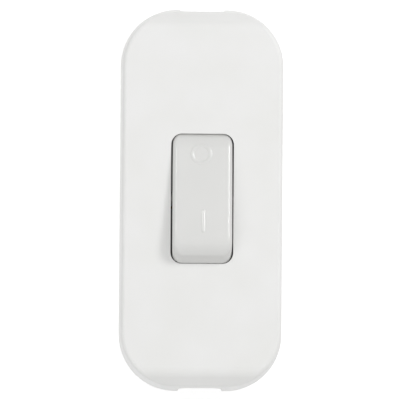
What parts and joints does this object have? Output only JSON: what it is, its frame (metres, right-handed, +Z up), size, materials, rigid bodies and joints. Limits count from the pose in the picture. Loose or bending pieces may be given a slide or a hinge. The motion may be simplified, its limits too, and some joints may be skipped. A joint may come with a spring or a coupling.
{
  "type": "in-line cord rocker switch",
  "caption": "In-line cord switch: moulded clamshell housing with rounded corners, a rocker key with O and I marks, sprung double-pole contacts and a cord clamp at each end.",
  "frame": {"origin": "centre of the flat back, on the surface it lies on", "axes": "+Y along the cord towards the end marked O, +Z up out of the cover, +X to the right"},
  "size_m": [0.032, 0.075, 0.0235],
  "materials": {
    "housing_plastic": "satin white moulding",
    "rocker_plastic": "smooth white moulding",
    "clamp_plastic": "satin moulding",
    "plunger_plastic": "smooth moulding",
    "brass": "stamped strip",
    "silver": "silver contact alloy",
    "screw_steel": "zinc plated",
    "spring_steel": "drawn wire"
  },
  "bodies": {
    "housing": {"base_shell": "housing_plastic", "cover_shell": "housing_plastic", "terminal_screws": "screw_steel", "cord_clamp_screws": "screw_steel", "housing_screws": "screw_steel", "cord_clamp_in": "clamp_plastic", "cord_clamp_out": "clamp_plastic", "terminal_cage_in_left": "brass", "terminal_cage_in_right": "brass", "terminal_cage_out_left": "brass", "terminal_cage_out_right": "brass", "pivot_strip_left": "brass", "pivot_strip_right": "brass", "fixed_strip_left": "brass", "fixed_strip_right": "brass", "fixed_contact_left": "silver", "fixed_contact_right": "silver"},
    "rocker": {"rocker": "rocker_plastic", "plunger_spring_left": "spring_steel", "plunger_spring_right": "spring_steel"},
    "plunger_left": {"plunger_left": "plunger_plastic"},
    "bridge_left": {"contact_bridge_left": "brass", "moving_contact_left": "silver"},
    "plunger_right": {"plunger_right": "plunger_plastic"},
    "bridge_right": {"contact_bridge_right": "brass", "moving_contact_right": "silver"}
  },
  "joints": [
    {"name": "rocker_tilt", "type": "hinge", "parent": "housing", "child": "rocker", "pos_m": [0, 0, 0.0151], "axis": [1, 0, 0], "range_deg": [0, 19]},
    {"name": "plunger_left_slide", "type": "slide", "parent": "rocker", "child": "plunger_left", "axis": [0, 0.165, 0.9863], "range_m": [0, 0.0008], "stiffness_N_per_m": 400, "springref_m": -0.003, "deforming": ["plunger_spring_left"]},
    {"name": "bridge_left_tilt", "type": "hinge", "parent": "housing", "child": "bridge_left", "pos_m": [-0.0034, 0, 0.00722], "axis": [1, 0, 0], "range_deg": [-24, 0]},
    {"name": "plunger_right_slide", "type": "slide", "parent": "rocker", "child": "plunger_right", "axis": [0, 0.165, 0.9863], "range_m": [0, 0.0008], "stiffness_N_per_m": 400, "springref_m": -0.003, "deforming": ["plunger_spring_right"]},
    {"name": "bridge_right_tilt", "type": "hinge", "parent": "housing", "child": "bridge_right", "pos_m": [0.0034, 0, 0.00722], "axis": [1, 0, 0], "range_deg": [-24, 0]}
  ],
  "couplings": [
    {"joint": "bridge_left_tilt", "follows": "rocker_tilt", "ratio": -1.2632},
    {"joint": "bridge_right_tilt", "follows": "rocker_tilt", "ratio": -1.2632}
  ]
}
